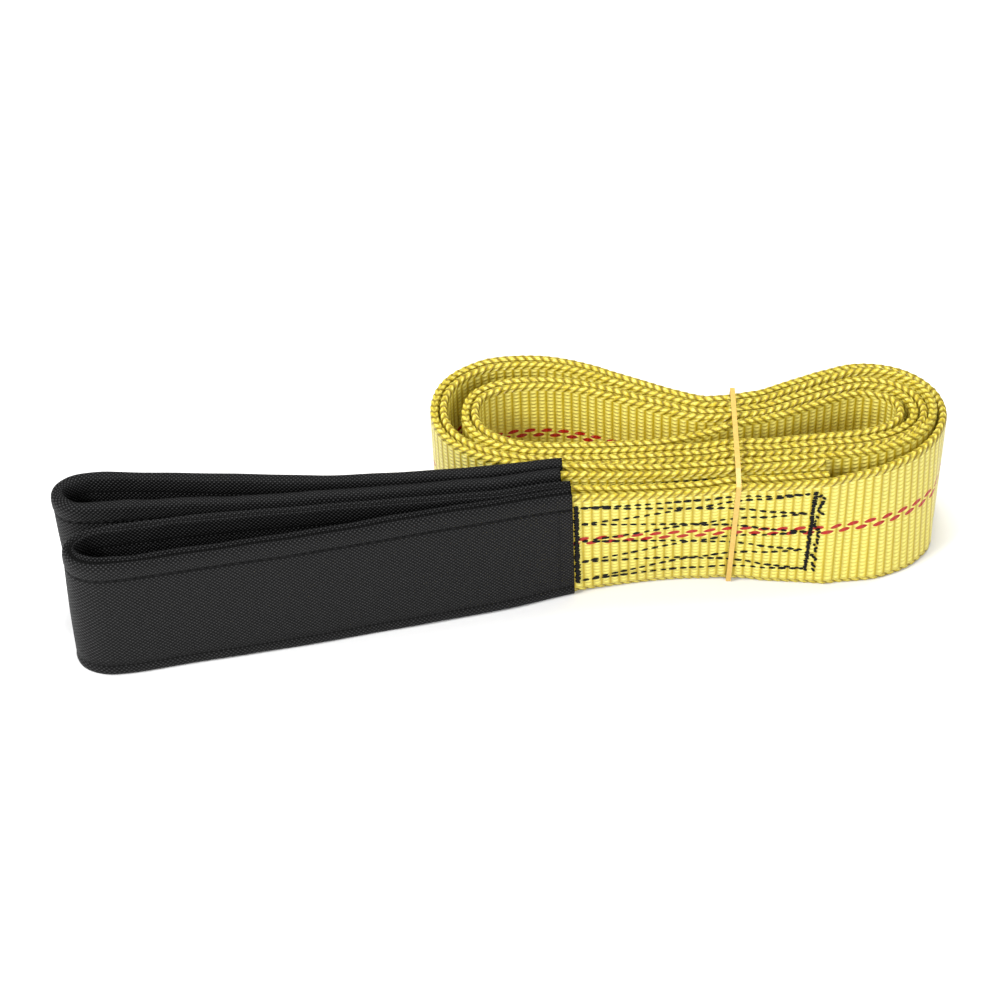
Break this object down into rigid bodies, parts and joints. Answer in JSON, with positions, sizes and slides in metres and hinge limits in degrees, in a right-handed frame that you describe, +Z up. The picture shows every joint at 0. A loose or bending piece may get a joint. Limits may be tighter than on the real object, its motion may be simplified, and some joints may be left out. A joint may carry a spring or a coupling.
{
  "type": "tow strap",
  "caption": "Flat webbing tow strap with a sleeved eye loop at each end, folded in half, wound into a flat coil and held by a rubber band.",
  "frame": {"origin": "middle of the folded strap's footprint, on the floor that it stands on", "axes": "+Z up, out of the webbing's upper edge; +X from the eyes to the far end of the coil; +Y to the back of the coil"},
  "size_m": [0.3214, 0.1214, 0.0538],
  "materials": {
    "webbing": "woven polyester, matte",
    "sleeve": "woven cloth, matte",
    "rubber": "satin"
  },
  "bodies": {
    "root": {"webbing": "webbing", "sleeve_front": "sleeve", "sleeve_back": "sleeve", "rubber_band": "rubber"}
  },
  "joints": []
}
